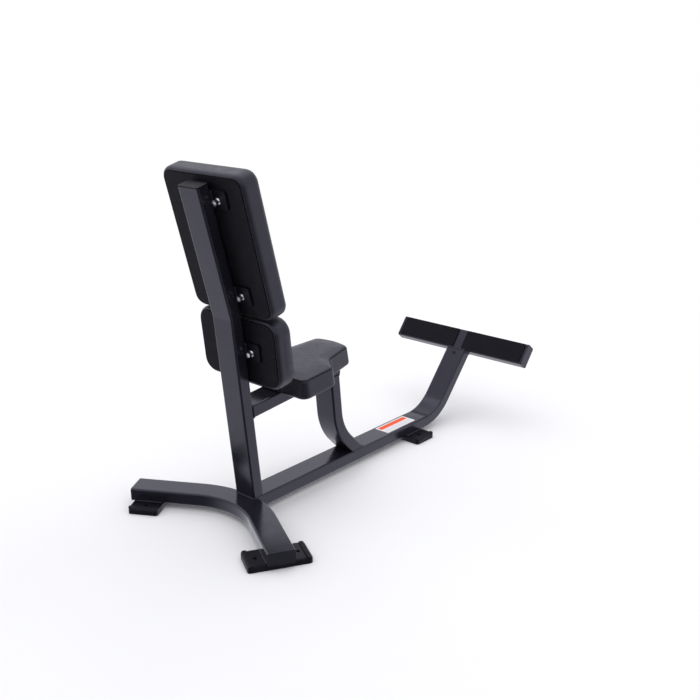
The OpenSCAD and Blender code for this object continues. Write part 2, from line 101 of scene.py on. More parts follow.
class Shader:
    """A node material: colour that drifts, a fine surface texture and a varying roughness."""

    def __init__(self, name, color, rough, metallic=0.0, specular=0.5):
        self.mat = bpy.data.materials.new(name)
        self.mat.use_nodes = True
        self.tree = self.mat.node_tree
        self.bsdf = self.tree.nodes["Principled BSDF"]
        self.color, self.rough = color, rough
        self.put("Base Color", (*color, 1))
        self.put("Roughness", rough)
        self.put("Metallic", metallic)
        self.put("Specular IOR Level", specular)
        if metallic == 0:
            self.put("Specular Tint", (0.80, 0.79, 1.0, 1))
        self.coord = self.node("ShaderNodeTexCoord").outputs["Object"]
        self.height = None

    def put(self, socket, value):
        self.bsdf.inputs[socket].default_value = value

    def node(self, kind, **settings):
        n = self.tree.nodes.new(kind)
        for k, v in settings.items():
            if k in n.inputs:
                n.inputs[k].default_value = v
            else:
                setattr(n, k, v)
        return n

    def link(self, a, b):
        self.tree.links.new(a, b)

    def noise(self, scale, detail=3.0, stretch=None, rough=0.5):
        n = self.node("ShaderNodeTexNoise", Scale=scale, Detail=detail, Roughness=rough)
        source = self.coord
        if stretch:
            m = self.node("ShaderNodeMapping", Scale=stretch)
            self.link(source, m.inputs["Vector"])
            source = m.outputs["Vector"]
        self.link(source, n.inputs["Vector"])
        return n.outputs["Fac"]

    def cells(self, scale, feature="F1", warp=0.0):
        v = self.node("ShaderNodeTexVoronoi", Scale=scale, feature=feature)
        source = self.coord
        if warp:
            n = self.node("ShaderNodeTexNoise", Scale=scale * 0.6, Detail=2.0)
            self.link(source, n.inputs["Vector"])
            mix = self.node("ShaderNodeVectorMath", operation="MULTIPLY_ADD")
            mix.inputs[1].default_value = (warp,) * 3
            self.link(n.outputs["Color"], mix.inputs[0])
            self.link(source, mix.inputs[2])
            source = mix.outputs["Vector"]
        self.link(source, v.inputs["Vector"])
        return v.outputs["Distance"]

    def remap(self, value, lo, hi, a, b, smooth=False):
        m = self.node("ShaderNodeMapRange")
        if smooth:
            m.interpolation_type = "SMOOTHSTEP"
        for key, number in (("From Min", lo), ("From Max", hi), ("To Min", a), ("To Max", b)):
            m.inputs[key].default_value = number
        self.link(value, m.inputs["Value"])
        return m.outputs["Result"]

    def math(self, op, a, b):
        m = self.node("ShaderNodeMath", operation=op)
        for i, v in enumerate((a, b)):
            if isinstance(v, (int, float)):
                m.inputs[i].default_value = v
            else:
                self.link(v, m.inputs[i])
        return m.outputs[0]

    def mix(self, fac, a, b):
        m = self.node("ShaderNodeMix", data_type="RGBA")
        for key, v in (("A", a), ("B", b)):
            socket = [s for s in m.inputs if s.name == key and s.type == "RGBA"][0]
            if isinstance(v, tuple):
                socket.default_value = (*v, 1)
            else:
                self.link(v, socket)
        self.link(fac, m.inputs["Factor"])
        return [s for s in m.outputs if s.type == "RGBA"][0]

    def drift(self, other, scale, lo=0.4, hi=0.6):
        """Colour drifts between the base colour and another."""
        fac = self.remap(self.noise(scale, 4.0), lo, hi, 0, 1, True)
        self.link(self.mix(fac, self.color, other), self.bsdf.inputs["Base Color"])
        return self

    def vary_rough(self, scale, by):
        r = self.remap(self.noise(scale, 4.0), 0.3, 0.7, self.rough - by, self.rough + by)
        self.link(r, self.bsdf.inputs["Roughness"])
        return self

    def bump(self, height, distance, strength=1.0):
        b = self.node("ShaderNodeBump", Distance=distance, Strength=strength)
        self.link(height, b.inputs["Height"])
        if self.height:
            self.link(self.height, b.inputs["Normal"])
        self.height = b.outputs["Normal"]
        self.link(self.height, self.bsdf.inputs["Normal"])
        return self


def paint(name, color, other, rough, specular=0.5):
    s = Shader(name, color, rough, specular=specular)
    s.drift(other, 9.0)
    s.vary_rough(35.0, 0.05)
    s.bump(s.noise(520.0, 2.0), 0.00004, 0.4)
    s.bump(s.noise(90.0, 2.0), 0.00008, 0.25)
    return s.mat


def vinyl(name, color, other):
    s = Shader(name, color, 0.42)
    s.drift(other, 14.0)
    s.vary_rough(60.0, 0.06)
    s.bump(s.noise(24.0, 3.0), 0.0006, 0.15)
    s.bump(s.cells(620.0, "DISTANCE_TO_EDGE", 0.0012), 0.0002, 0.5)
    s.bump(s.noise(1500.0, 2.0), 0.00005, 0.4)
    s.put("Sheen Weight", 0.05)
    return s.mat


def moulded(name, color, other, rough, scale=700.0, depth=0.00012):
    s = Shader(name, color, rough, specular=0.22)
    s.drift(other, 30.0)
    s.vary_rough(80.0, 0.06)
    s.bump(s.noise(scale, 3.0), depth, 0.8)
    return s.mat


def zinc(name):
    s = Shader(name, (0.94, 0.94, 0.96), 0.22, metallic=1.0)
    s.drift((0.80, 0.81, 0.84), 160.0)
    s.vary_rough(300.0, 0.06)
    s.bump(s.noise(900.0, 3.0, stretch=(1, 6, 1)), 0.00004, 0.6)
    return s.mat


def backing(name):
    """Black non-woven backing cloth: short crossed fibres."""
    s = Shader(name, (0.0030, 0.0030, 0.0038), 0.6, specular=0.14)
    s.drift((0.0045, 0.0045, 0.0055), 40.0)
    a = s.noise(700.0, 2.0, stretch=(1, 1, 7))
    b = s.noise(700.0, 2.0, stretch=(7, 1, 1))
    s.bump(s.math("ADD", a, b), 0.00016, 0.6)
    return s.mat


def tread(name, color, pitch):
    """Black rubber with a moulded diamond grid, laid in the plane of the footrest face."""
    s = Shader(name, color, 0.6, specular=0.16)
    s.drift(tuple(c * 1.5 for c in color), 25.0)
    c = math.cos(math.radians(BAR_ANGLE))
    n = math.sin(math.radians(BAR_ANGLE))
    along = s.node("ShaderNodeVectorMath", operation="DOT_PRODUCT")
    along.inputs[1].default_value = (1, c, n)
    across = s.node("ShaderNodeVectorMath", operation="DOT_PRODUCT")
    across.inputs[1].default_value = (1, -c, -n)
    ridges = []
    for d in (along, across):
        s.link(s.coord, d.inputs[0])
        wave = s.math("SINE", s.math("MULTIPLY", d.outputs["Value"], 2 * math.pi / pitch), 0)
        ridges.append(s.math("ABSOLUTE", wave, 0))
    height = s.math("MINIMUM", *ridges)
    s.bump(s.remap(height, 0.0, 0.5, 0, 1, True), 0.0005, 0.7)
    s.bump(s.noise(1300.0, 2.0), 0.00006, 0.5)
    return s.mat


def film(name, origin, size):
    """Label film: white with one plain orange band and fine grey rules."""
    s = Shader(name, (0.86, 0.86, 0.85), 0.4, specular=0.12)
    split = s.node("ShaderNodeSeparateXYZ")
    s.link(s.coord, split.inputs[0])
    u = s.math("DIVIDE", s.math("SUBTRACT", split.outputs["X"], origin[0]), size[0])
    v = s.math("DIVIDE", s.math("SUBTRACT", split.outputs["Y"], origin[1]), size[1])
    band = s.math("MULTIPLY", s.math("GREATER_THAN", u, 0.1), s.math("LESS_THAN", u, 0.44))
    inside = s.math("MULTIPLY", s.math("GREATER_THAN", v, 0.04), s.math("LESS_THAN", v, 0.96))
    band = s.math("MULTIPLY", band, inside)
    lines = s.math("LESS_THAN", s.math("FRACT", s.math("MULTIPLY", v, 26.0), 0), 0.2)
    lines = s.math("MULTIPLY", lines, s.math("GREATER_THAN", u, 0.56))
    lines = s.math("MULTIPLY", lines, s.math("LESS_THAN", u, 0.9))
    lines = s.math("MULTIPLY", lines, inside)
    grain = s.remap(s.noise(300.0), 0.3, 0.7, 0, 0.06)
    color = s.mix(grain, (0.74, 0.73, 0.72), (0.62, 0.62, 0.60))
    color = s.mix(lines, color, (0.42, 0.42, 0.43))
    color = s.mix(band, color, (0.82, 0.085, 0.012))
    s.link(color, s.bsdf.inputs["Base Color"])
    s.bump(s.noise(200.0), 0.00003, 0.3)
    return s.mat


FRAME_PAINT = paint("frame_paint", (0.0085, 0.0080, 0.0120), (0.0110, 0.0105, 0.0145), 0.2)
CAP_PAINT = paint("cap_paint", (0.0095, 0.0090, 0.0130), (0.0120, 0.0115, 0.0150), 0.38)
# Foot plate paint, darker and duller than the frame paint: partly the plates' own paint, partly
# painted shade for how little light reaches them low on the floor.
PLATE_PAINT_AND_SHADE = paint("plate_paint", (0.0045, 0.0045, 0.0062), (0.0065, 0.0065, 0.0085), 0.36, 0.25)
VINYL = vinyl("upholstery", (0.0052, 0.0049, 0.0072), (0.0066, 0.0063, 0.0088))
BACKING = backing("backing_cloth")
FOOT_RUBBER = moulded("foot_rubber", (0.0028, 0.0028, 0.0036), (0.0048, 0.0048, 0.0058), 0.5)
GRIP = tread("grip_rubber", (0.0022, 0.0021, 0.0030), 0.0075)
PLASTIC = moulded("black_plastic", (0.004, 0.004, 0.005), (0.006, 0.006, 0.007), 0.5)
ZINC = zinc("zinc_steel")
# Bracket paint, darker and duller than the frame paint: partly the brackets' own paint, partly
# painted shade for the shadow the pads cast on and round the brackets.
BRACKET_PAINT_AND_SHADE = paint("bracket_paint_and_shade", (0.0025, 0.0025, 0.0035), (0.0040, 0.0040, 0.0055), 0.5, 0.12)
# Near-black colour for the faces beside the cover seams and for the joint lines at the caps: painted
# shade in those channels and gaps, not a colour of the vinyl or the paint.
GAP_SHADE = moulded("painted_gap_shade", (0.0012, 0.0012, 0.0016), (0.0020, 0.0020, 0.0026), 0.75, 1500.0)
THREAD = moulded("seam_thread", (0.010, 0.010, 0.012), (0.018, 0.018, 0.02), 0.6, 2500.0)


def finish_for(name):
    if name.startswith("grip_pad"):
        return GRIP
    if name.startswith("rubber_foot"):
        return FOOT_RUBBER
    if name.startswith("foot_plate"):
        return PLATE_PAINT_AND_SHADE
    if name.endswith("_board"):
        return BACKING
    if name in ("cap_screws", "flat_washers", "lock_washers", "tee_nuts"):
        return ZINC
    # upright_top_cap takes the black plastic finish, which draws the top of the upright darker than
    # the frame paint.
    if name in ("stem_plug", "upright_top_cap"):
        return PLASTIC
    # Brackets take the darker paint that carries painted shade.
    if "bracket" in name:
        return BRACKET_PAINT_AND_SHADE
    if "_cap" in name:
        return CAP_PAINT
    return FRAME_PAINT


for name, obj in NODES.items():
    mat = finish_for(name)
    if name == "info_label":
        lo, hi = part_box(name)
        mat = film("label_film", lo, hi - lo)
    for i in range(max(1, len(obj.material_slots))):
        if not obj.material_slots:
            obj.data.materials.append(mat)
        obj.material_slots[i].link = "OBJECT"
        obj.material_slots[i].material = mat

# ---------- padded pieces ----------


def rect_ring(w, h, r, d, counts):
    """Closed ring of points on a rounded rectangle set in by d."""
    nx, ny = counts
    out = []
    for i, j in ring_cells(nx, ny):
        p = np.array([(2 * i / nx - 1) * w / 2, (2 * j / ny - 1) * h / 2])
        q = np.clip(p, [-w / 2 + r, -h / 2 + r], [w / 2 - r, h / 2 - r])
        v = p - q
        out.append(q + v / np.linalg.norm(v) * (r - d))
    return out


def ring_cells(nx, ny):
    return ([(i, 0) for i in range(nx)] + [(nx, j) for j in range(ny)]
            + [(i, ny) for i in range(nx, 0, -1)] + [(0, j) for j in range(ny, 0, -1)])


def rect_inner(w, h, r, d, i, j, counts):
    """A cap point inside the ring that is set in by d."""
    nx, ny = counts
    w, h, r = w - 2 * d, h - 2 * d, max(r - d, 1.0)
    p = np.array([(2 * i / nx - 1) * w / 2, (2 * j / ny - 1) * h / 2])
    q = np.clip(p, [-w / 2 + r, -h / 2 + r], [w / 2 - r, h / 2 - r])
    v = p - q
    m, n = np.abs(v).max(), np.linalg.norm(v)
    return q + v * (m / n if n > 0 else 1)


# Place of the seam on a pad's rounded front edge, in degrees. Depths are in metres.
SEAM_ANGLE = 38
SWELL_CAP, SEAM_DEPTH = 0.006, 0.0018


def pad_profile(front, r_front):
    """Stations from the pocket behind the pad round to its front: inset, depth and name."""
    back_r = 11.0
    wrap_depth = 17.0
    steps = [(BOARD_INSET - 0.6, CUSHION_BACK + 0.3, "pocket"),
             (BOARD_INSET - 0.8, CUSHION_BACK - 4.0, "pocket"),
             (BOARD_INSET - 1.0, BOARD_BACK + 3.2, "lip"),
             (BOARD_INSET - 1.6, BOARD_BACK + 2.2, "lip")]
    wrap_start = 66
    for k in range(1, 7):
        a = math.radians(wrap_start - wrap_start * k / 6)
        depth = BOARD_BACK + 1.0 + wrap_depth * (1 - math.sin(a))
        steps.append((back_r * (1 - math.cos(a)), depth, "wrap"))
    side = front - r_front
    levels = np.linspace(BOARD_BACK + 1.0 + wrap_depth, side, 7)[1:]
    for z in levels:
        steps.append((0.0, float(z), "side"))
    for angle in (12, 24, 33, SEAM_ANGLE, 43, 52, 64, 77, 90):
        a = math.radians(angle)
        kind = "seam" if angle == SEAM_ANGLE else "edge"
        steps.append((r_front * (1 - math.cos(a)), side + r_front * math.sin(a), kind))
    return steps


def loft(rings, caps):
    """Closed mesh from rings of equal length. caps are grids of points inside the end rings."""
    bm = bmesh.new()
    rows = [[bm.verts.new(p) for p in ring] for ring in rings]
    n = len(rows[0])
    for a, b in zip(rows, rows[1:]):
        for i in range(n):
            j = (i + 1) % n
            bm.faces.new((a[i], a[j], b[j], b[i]))
    for row, cap, flip in ((rows[0], caps[0], True), (rows[-1], caps[1], False)):
        nx, ny, inner = cap
        grid = dict(zip(ring_cells(nx, ny), row))
        for i in range(1, nx):
            for j in range(1, ny):
                grid[i, j] = bm.verts.new(inner(i, j))
        for i in range(nx):
            for j in range(ny):
                quad = [grid[i, j], grid[i + 1, j], grid[i + 1, j + 1], grid[i, j + 1]]
                bm.faces.new(quad[::-1] if flip else quad)
    bmesh.ops.recalc_face_normals(bm, faces=bm.faces)
    return bm


def new_object(name, bm, matrix, mat):
    mesh = bpy.data.meshes.new(name)
    bm.to_mesh(mesh)
    bm.free()
    mesh.transform(matrix)
    for p in mesh.polygons:
        p.use_smooth = True
    obj = bpy.data.objects.new(name, mesh)
    bpy.context.scene.collection.objects.link(obj)
    mesh.materials.append(mat)
    return obj


def coords(obj):
    co = np.zeros(len(obj.data.vertices) * 3)
    obj.data.vertices.foreach_get("co", co)
    return co.reshape(-1, 3)


def point_normals(obj):
    out = np.zeros(len(obj.data.vertices) * 3)
    obj.data.vertices.foreach_get("normal", out)
    return out.reshape(-1, 3)


def set_coords(obj, co):
    obj.data.vertices.foreach_set("co", np.asarray(co, np.float32).ravel())
    obj.data.update()


def apply_modifiers(obj):
    dg = bpy.context.evaluated_depsgraph_get()
    mesh = bpy.data.meshes.new_from_object(obj.evaluated_get(dg))
    obj.modifiers.clear()
    obj.data = mesh


def inflate(obj, pinned, cap, pressure=4.0, frames=20):
    """Runs Cloth on a cover and keeps part of the movement.

    Only movement along the outward normal counts. Inward movement is set to zero, outward movement
    is capped at cap metres, and the result is averaged over neighbours. The middle of each panel
    reaches the cap, so it is flat there and curves only towards its edges.
    """
    before = coords(obj)
    group = obj.vertex_groups.new(name="pinned")
    for i, w in enumerate(pinned):
        if w > 0:
            group.add([i], float(w), "REPLACE")
    m = obj.modifiers.new("cloth", "CLOTH")
    s = m.settings
    s.quality = 6
    s.mass = 0.25
    s.tension_stiffness = 12
    s.compression_stiffness = 12
    s.shear_stiffness = 4
    s.bending_stiffness = 1.2
    s.use_pressure = True
    s.uniform_pressure_force = pressure
    s.vertex_group_mass = "pinned"
    s.effector_weights.gravity = 0
    m.point_cache.frame_start, m.point_cache.frame_end = 1, frames
    scene = bpy.context.scene
    for f in range(1, frames + 1):
        scene.frame_set(f)
    apply_modifiers(obj)
    scene.frame_set(1)
    move = coords(obj) - before
    set_coords(obj, before)
    normals = point_normals(obj)
    swell = np.clip((move * normals).sum(1), 0, cap)
    swell = relax(obj, swell, 12)
    free = 1 - np.minimum(1, np.asarray(pinned))
    set_coords(obj, before + normals * (swell * free)[:, None])
    obj.vertex_groups.clear()


def relax(obj, values, rounds):
    """Averages a value over neighbouring points, so that no step is left where it was capped."""
    edges = np.zeros(len(obj.data.edges) * 2, int)
    obj.data.edges.foreach_get("vertices", edges)
    edges = edges.reshape(-1, 2)
    count = np.bincount(edges.ravel(), minlength=len(values))
    for _ in range(rounds):
        total = np.bincount(edges[:, 0], values[edges[:, 1]], len(values))
        total += np.bincount(edges[:, 1], values[edges[:, 0]], len(values))
        values = 0.5 * values + 0.5 * total / count
    return values


def sink_seam(obj, ring, count, depth):
    """Pulls one ring of points in along its normals, which makes the sewn channel."""
    normals = point_normals(obj)
    co = coords(obj)
    rows = slice(ring * count, (ring + 1) * count)
    co[rows] -= normals[rows] * depth
    set_coords(obj, co)


# Each stitch as its places along the thread and the thread's thickness there.
STITCH_SHAPE = ((-0.5, 0.25), (-0.4, 0.8), (-0.15, 1), (0.15, 1), (0.4, 0.8), (0.5, 0.25))


def stitches(name, points, normals, spacing=0.0052, length=0.0034, radius=0.00042):
    """A row of short thread stitches that lie along a closed line of points."""
    pts = np.vstack([points, points[:1]])
    nrm = np.vstack([normals, normals[:1]])
    run = np.concatenate([[0], np.cumsum(np.linalg.norm(np.diff(pts, axis=0), axis=1))])
    total = int(run[-1] / spacing)
    bm = bmesh.new()
    for k in range(total):
        at = (k + 0.5) * run[-1] / total
        p = Vector([np.interp(at, run, pts[:, c]) for c in range(3)])
        q = Vector([np.interp(min(at + 0.001, run[-1]), run, pts[:, c]) for c in range(3)])
        n = Vector([np.interp(at, run, nrm[:, c]) for c in range(3)]).normalized()
        t = (q - p).normalized()
        b = n.cross(t).normalized()
        rings = []
        for along, r in STITCH_SHAPE:
            lift = radius * (0.55 - 2.2 * along * along)
            centre = p + t * along * length + n * lift
            rings.append([bm.verts.new(centre + (b * math.cos(a) + n * math.sin(a)) * radius * r)
                          for a in (i * math.pi / 3 for i in range(6))])
        for a, c in zip(rings, rings[1:]):
            for i in range(6):
                bm.faces.new((a[i], a[(i + 1) % 6], c[(i + 1) % 6], c[i]))
        bm.faces.new(rings[0][::-1])
        bm.faces.new(rings[-1])
    bmesh.ops.recalc_face_normals(bm, faces=bm.faces)
    obj = new_object(name, bm, Matrix.Identity(4), THREAD)
    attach(obj, "root")


def finish_cover(obj, node, seam, count):
    """Cuts the seam channel into a cover, gives the faces beside it painted shade, subdivides it once
    and lays stitches beside the seam.
    """
    normals = point_normals(obj)
    co = coords(obj)
    above = slice((seam + 2) * count, (seam + 3) * count)
    line, facing = co[above].copy(), normals[above].copy()
    sink_seam(obj, seam, count, SEAM_DEPTH)
    crease = obj.data.attributes.new("crease_edge", "FLOAT", "EDGE")
    obj.data.materials.append(GAP_SHADE)
    rows = range(seam * count, (seam + 1) * count)
    for e in obj.data.edges:
        if e.vertices[0] in rows and e.vertices[1] in rows:
            crease.data[e.index].value = 1.0
    # Faces that touch the seam ring take the painted shade of the channel.
    for p in obj.data.polygons:
        if sum(v in rows for v in p.vertices) == 2:
            p.material_index = 1
    sub = obj.modifiers.new("subdivision", "SUBSURF")
    sub.levels = sub.render_levels = 1
    apply_modifiers(obj)
    for p in obj.data.polygons:
        p.use_smooth = True
    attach(obj, "root")
    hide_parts(node)
    stitches(obj.name + "_stitches", line, facing)


def back_pad(name, matrix, w, h, r, mid, cells, node):
    """Cover of a back pad, wrapped round the back edge of its cushion."""
    front, r_front = PAD_FRONT - 2.0, 15.0
    stations = pad_profile(front, r_front)
    rings, wraps = [], []
    for d, n, kind in stations:
        ring = rect_ring(w, h, r, d, cells)
        rings.append([(p[0], n, mid + p[1]) for p in ring])
        wraps.append(kind)
    first, last = stations[0], stations[-1]

    def cap(d, n):
        return (*cells, lambda i, j: (lambda p: (p[0], n, mid + p[1]))(
            rect_inner(w, h, r, d, i, j, cells)))

    bm = loft(rings, (cap(first[0], first[1]), cap(last[0], last[1])))
    obj = new_object(name, bm, matrix, VINYL)
    ring_n = len(rings[0])
    total = len(obj.data.vertices)
    pinned = np.zeros(total)
    for k, kind in enumerate(wraps):
        weight = {"pocket": 1.0, "lip": 1.0, "wrap": 1.0, "side": 0.0, "edge": 0.0, "seam": 0.0}[kind]
        pinned[k * ring_n:(k + 1) * ring_n] = weight
    first_side = wraps.index("side")
    for k, weight in ((first_side, 0.8), (first_side + 1, 0.4)):
        pinned[k * ring_n:(k + 1) * ring_n] = weight
    back_inner = (cells[0] - 1) * (cells[1] - 1)
    start = len(rings) * ring_n
    pinned[start:start + back_inner] = 1.0
    inflate(obj, pinned, SWELL_CAP)
    finish_cover(obj, node, wraps.index("seam"), ring_n)


back_pad("upper_pad_cover", UPPER, PAD_W, UPPER_PAD_H, UPPER_PAD_R,
         UPPER_PAD_H / 2 - UPPER_PAD_DROP, (46, 60), "upper_pad_cushion")
back_pad("lumbar_pad_cover", LUMBAR, PAD_W, LUMBAR_PAD_H, LUMBAR_PAD_R,
         -LUMBAR_PAD_DROP - LUMBAR_PAD_H / 2, (46, 30), "lumbar_pad_cushion")

# ---------- seat ----------

SHOULDER_Y, SHOULDER_R, SHOULDER_TURN = 258.0, 20.0, 49.0
COVE_X, COVE_Y, COVE_R = 116.0, 310.0, 30.0
NOSE_HALF, NOSE_SIDE_Y, NOSE_CORNER_R = 71.0, 384.0, 23.0
NOSE_FRONT, NOSE_FRONT_R = 414.0, 180.0
SEAT_CORNER_R, SEAT_CENTRE_Y = 22.0, 245.0


def arc(cx, cy, r, a0, a1, n):
    """Points of an arc round (cx, cy) between two angles in degrees."""
    return [(cx + r * math.cos(math.radians(a0 + (a1 - a0) * i / n)),
             cy + r * math.sin(math.radians(a0 + (a1 - a0) * i / n))) for i in range(n + 1)]


def seat_outline(d):
    """Right half of the seat's outline set in by d, from the middle of the back to the nose."""
    r, s = SEAT_CORNER_R, SHOULDER_R
    half = [(0.0, SEAT_BACK + d)]
    half += arc(SEAT_W / 2 - r, SEAT_BACK + r, r - d, -90, 0, 12)
    half += arc(SEAT_W / 2 - s, SHOULDER_Y - s, s - d, 0, SHOULDER_TURN, 12)
    half += arc(COVE_X, COVE_Y, COVE_R + d, 180 + SHOULDER_TURN, 190, 10)
    half += arc(NOSE_HALF - NOSE_CORNER_R, NOSE_SIDE_Y, NOSE_CORNER_R - d, 8, 72, 10)
    front = NOSE_FRONT - NOSE_FRONT_R - d
    half += [(x, front + math.sqrt(NOSE_FRONT_R ** 2 - x ** 2)) for x in (36, 18, 0)]
    return half


def resample(half, n):
    """An outline as n evenly spaced points."""
    p = np.array(half)
    run = np.concatenate([[0], np.cumsum(np.linalg.norm(np.diff(p, axis=0), axis=1))])
    t = np.linspace(0, run[-1], n)
    return np.stack([np.interp(t, run, p[:, 0]), np.interp(t, run, p[:, 1])], 1)


def matched_ring(d, reference):
    """Ring at inset d whose points follow those of the reference ring."""
    dense = resample(seat_outline(d), 1200)
    out = []
    last = 0
    for p in reference:
        window = dense[last:last + 200]
        k = last + int(np.argmin(np.linalg.norm(window - p, axis=1)))
        last = k
        out.append(dense[k])
    out[0], out[-1] = dense[0], dense[-1]
    return np.array(out)


def full_ring(half):
    """Right half from back to front, then the left half from front to back."""
    left = [(-x, y) for x, y in half[-2:0:-1]]
    return [tuple(p) for p in half] + left


def seat_pad():
    """Cover of the seat, flared a little at its lower edge."""
    n = 76
    reference = resample(seat_outline(0), n)
    top = SEAT_PLATE + SEAT_T - 2.0
    r_top = 9.0
    stations = [(11.0, SEAT_PLATE + 12.3, 1.0), (11.2, SEAT_PLATE + 2.0, 1.0), (9.4, 0.4, 1.0),
                (6.0, -1.6, 1.0), (2.0, -1.8, 1.0), (-1.8, 0.6, 1.0), (-3.6, 5.0, 0.9)]
    side_top = top - r_top
    for k in range(1, 8):
        z = 5.0 + (side_top - 5.0) * k / 7
        stations.append((-3.8 * (1 - k / 7) ** 1.3, float(z), 0.3))
    seam = len(stations) + 3
    for angle in (14, 27, 37, 45, 53, 65, 78, 90):
        a = math.radians(angle)
        stations.append((r_top * (1 - math.cos(a)), side_top + r_top * math.sin(a), 0.0))
    rings = []
    for d, z, _ in stations:
        half = matched_ring(d, reference)
        rings.append([(x, y, z) for x, y in full_ring(half)])
    bm = bmesh.new()
    rows = [[bm.verts.new(p) for p in ring] for ring in rings]
    pinned = [w for (_, _, w) in stations for _ in rings[0]]
    count = len(rows[0])
    centre = np.array([0.0, SEAT_CENTRE_Y])

    def close(row, z, steps, weight):
        current = row
        base = np.array([v.co[:2] for v in row])
        for k in range(1, steps):
            s = 1 - k / steps
            ring = centre + (base - centre) * s
            nxt = [bm.verts.new((x, y, z)) for x, y in ring]
            pinned.extend([weight] * count)
            for i in range(count):
                j = (i + 1) % count
                bm.faces.new((current[i], current[j], nxt[j], nxt[i]))
            current = nxt
        tip = bm.verts.new((*centre, z))
        pinned.append(weight)
        for i in range(count):
            bm.faces.new((current[i], current[(i + 1) % count], tip))

    for a, b in zip(rows, rows[1:]):
        for i in range(count):
            j = (i + 1) % count
            bm.faces.new((a[i], a[j], b[j], b[i]))
    close(rows[0], stations[0][1], 14, 1.0)
    close(rows[-1], stations[-1][1], 16, 0.0)
    bmesh.ops.recalc_face_normals(bm, faces=bm.faces)
    obj = new_object("seat_cover", bm, RAIL, VINYL)
    inflate(obj, np.array(pinned), SWELL_CAP)
    finish_cover(obj, "seat_cushion", seam, count)


seat_pad()

# ---------- welds and joint lines ----------

BEAD_R, RIPPLE, PITCH = 2.5, 0.3, 3.0
BRACKET_BEAD, FOOT_BEAD = 25.0, 43.0
BEAD_IN, BEAD_UP = 1.2, 1.8


def rounded_loop(w, h, r, per=6):
    """Points round a rounded rectangle, each with its outward direction."""
    out = []
    for sx, sy, start in ((1, 1, 0), (-1, 1, 90), (-1, -1, 180), (1, -1, 270)):
        for k in range(per + 1):
            a = math.radians(start + 90 * k / per)
            d = Vector((math.cos(a), math.sin(a)))
            out.append((Vector((sx * (w / 2 - r), sy * (h / 2 - r))) + d * r, d))
    return out


def strip(bm, place, width=1.3, proud=0.22):
    """A thin flat band round a tube, laid where place(u, v, n) says."""
    profile = ((-0.4, -0.5), (0.7, -0.5), (1.0, -0.3), (1.0, 0.3), (0.7, 0.5), (-0.4, 0.5))
    rows = []
    for p, d in rounded_loop(TUBE_W, TUBE_H, TUBE_R):
        rows.append([bm.verts.new(place(*(p + d * out * proud), along * width))
                     for out, along in profile])
    for a, b in zip(rows, rows[1:] + rows[:1]):
        for i in range(len(profile)):
            j = (i + 1) % len(profile)
            bm.faces.new((a[i], a[j], b[j], b[i]))


def bead(bm, points, closed, side):
    """A rippled weld bead along a line of points. side is a direction across the line."""
    pts = [Vector(p) for p in points] + ([Vector(points[0])] if closed else [])
    run = [0.0]
    for a, b in zip(pts, pts[1:]):
        run.append(run[-1] + (b - a).length)
    count = max(6, int(run[-1] / 1.0))
    flat = np.array([tuple(p) for p in pts])
    rows = []
    for k in range(count if closed else count + 1):
        t = run[-1] * k / count
        p, q = (Vector([np.interp(u, run, flat[:, c]) for c in range(3)])
                for u in (max(t - 0.5, 0), min(t + 0.5, run[-1])))
        forward = (q - p).normalized()
        a = side.normalized()
        b = forward.cross(a).normalized()
        r = BEAD_R + RIPPLE * abs(math.sin(math.pi * t / PITCH)) * 2 - RIPPLE
        if not closed:
            r *= min(1.0, 0.35 + min(t, run[-1] - t) / 3.0)
        middle = (p + q) / 2
        rows.append([bm.verts.new(middle + (a * math.cos(w) + b * math.sin(w)) * r)
                     for w in (i * math.pi / 4 for i in range(8))])
    pairs = list(zip(rows, rows[1:]))
    if closed:
        pairs.append((rows[-1], rows[0]))
    else:
        bm.faces.new(rows[0][::-1])
        bm.faces.new(rows[-1])
    for a, b in pairs:
        for i in range(8):
            bm.faces.new((a[i], a[(i + 1) % 8], b[(i + 1) % 8], b[i]))


def trim(name, mat, jobs):
    """One piece made of several welds or lines, each in its own frame."""
    bm = bmesh.new()
    for matrix, make in jobs:
        start = len(bm.verts)
        make(bm)
        bm.verts.ensure_lookup_table()
        for v in bm.verts[start:]:
            v.co = matrix @ v.co
    bmesh.ops.recalc_face_normals(bm, faces=bm.faces)
    obj = new_object(name, bm, Matrix.Identity(4), mat)
    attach(obj, "root")


def meet(target, point, direction, axis, level):
    """Where a line given in the part's frame crosses a plane of another frame."""
    local = target.inverted() @ PART
    p = local @ Vector(point)
    d = local.to_3x3() @ Vector(direction)
    return p + d * ((level - p[axis]) / d[axis])


def joint_lines():
    """Thin dark lines where the end plates and caps meet the tubes: painted shade for the gaps there.
    """
    jobs = []
    for side in (-1, 1):
        jobs.append((BAR, lambda bm, s=side: strip(
            bm, lambda u, v, n: (s * (BAR_LEN / 2 - CAP_T) + n, TUBE_W / 2 + u, v - TUBE_H / 2))))
    jobs.append((UPPER, lambda bm: strip(
        bm, lambda u, v, n: (u, TUBE_H / 2 + v, UPPER_LEN - CAP_T + n))))
    jobs.append((RAIL, lambda bm: strip(
        bm, lambda u, v, n: (u, RAIL_END - CAP_T + n, v - TUBE_H / 2))))
    # The lines take the painted gap shade.
    trim("joint_lines", GAP_SHADE, jobs)


def tube_weld(matrix, depth, place, side):
    """A weld all round a tube's end. place(u, v) puts the middle of the section."""
    def make(bm):
        loop = [place(p[0], p[1]) for p, _ in rounded_loop(TUBE_W, depth, TUBE_R)]
        bead(bm, loop, True, Vector(side))
    return matrix, make


def line_weld(matrix, line, side):
    """A straight weld along a line of points."""
    return matrix, lambda bm: bead(bm, line, False, Vector(side))


